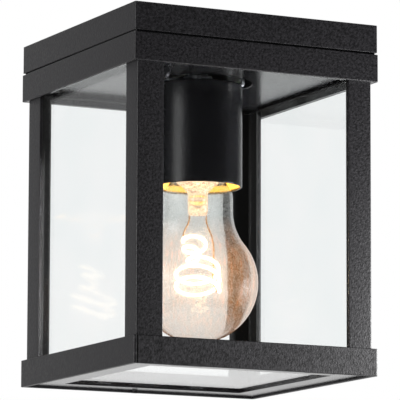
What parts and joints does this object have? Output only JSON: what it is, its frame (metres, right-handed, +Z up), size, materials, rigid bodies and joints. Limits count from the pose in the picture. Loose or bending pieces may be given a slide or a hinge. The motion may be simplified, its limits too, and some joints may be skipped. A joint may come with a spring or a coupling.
{
  "type": "porch ceiling lantern",
  "caption": "Square black metal and glass ceiling lantern with a shadow-gap ceiling plate, a clear globe bulb in a tube holder and a hinged glazed bottom frame.",
  "frame": {"origin": "centre of the ceiling plate's top face, which lies against the ceiling", "axes": "+Z up into the ceiling, the lantern hangs down along -Z; -Y is the front, where the bottom frame is hinged; +X is to the right seen from the front"},
  "size_m": [0.1324, 0.1324, 0.1736],
  "materials": {
    "black_powder": "fine textured powder coat",
    "black_satin": "satin black paint",
    "black_plastic": "moulded thermoset",
    "glazing_strip": "matt black strip",
    "clear_glass": "clear float glass",
    "zinc_steel": "bright zinc plate",
    "brass": "plain brass",
    "ceramic": "glazed ceramic",
    "terminal_white": "moulded plastic",
    "wire_live": "wire sheath",
    "wire_neutral": "wire sheath",
    "wire_earth": "wire sheath",
    "magnet_dark": "sintered magnet",
    "lamp_glass": "thin clear warm glass",
    "lamp_cap": "rolled sheet",
    "lamp_wire": "bright lead wire",
    "filament": "glowing filament"
  },
  "bodies": {
    "lantern": {"ceiling_plate": "black_powder", "cable_grommet": "glazing_strip", "holder_bridge": "zinc_steel", "bridge_rivets": "zinc_steel", "hanging_studs": "zinc_steel", "stud_spacers": "zinc_steel", "stud_washers": "zinc_steel", "cap_nuts": "black_satin", "terminal_block": "terminal_white", "terminal_screws": "zinc_steel", "earth_stud": "brass", "earth_wire": "wire_earth", "live_wire": "wire_live", "neutral_wire": "wire_neutral", "roof_band": "black_powder", "roof_plate": "black_powder", "gap_collar": "black_satin", "pane_clips": "black_satin", "post_front_left": "black_powder", "post_front_right": "black_powder", "post_back_right": "black_powder", "post_back_left": "black_powder", "seal_front_left": "glazing_strip", "seal_front_right": "glazing_strip", "seal_back_right": "glazing_strip", "seal_back_left": "glazing_strip", "pane_front": "clear_glass", "pane_right": "clear_glass", "pane_back": "clear_glass", "pane_left": "clear_glass", "pane_channels": "black_powder", "base_band": "black_powder", "hinge_brackets": "black_satin", "hinge_pins": "zinc_steel", "magnet_holder": "black_satin", "catch_magnet": "magnet_dark", "lampholder_tube": "black_satin", "holder_nipple": "zinc_steel", "nipple_nut": "zinc_steel", "holder_cap": "black_plastic", "holder_core": "ceramic", "holder_sleeve": "black_plastic", "screw_shell": "brass", "centre_contact": "brass"},
    "bottom_door": {"bottom_frame": "black_powder", "bottom_glass": "clear_glass", "bottom_clips": "zinc_steel"},
    "bulb_tip": {"tip_contact": "brass", "cap_insulator": "black_plastic"},
    "bulb": {"bulb_cap": "lamp_cap", "bulb_glass": "lamp_glass", "bulb_stem": "lamp_glass", "bulb_leads": "lamp_wire", "bulb_filament": "filament"}
  },
  "joints": [
    {"name": "bottom_door_hinge", "type": "hinge", "parent": "lantern", "child": "bottom_door", "pos_m": [0, -0.0615, -0.1714], "axis": [-1, 0, 0], "range_deg": [0, 90]},
    {"name": "bulb_slide", "type": "slide", "parent": "lantern", "child": "bulb_tip", "axis": [0, 0, -1], "range_m": [0, 0.01]},
    {"name": "bulb_turn", "type": "hinge", "parent": "bulb_tip", "child": "bulb", "pos_m": [0, 0, -0.1], "axis": [0, 0, -1], "range_deg": [0, 990]}
  ],
  "couplings": [
    {"joint": "bulb_slide", "follows": "bulb_turn", "m_per_rad": 0.00057614}
  ]
}
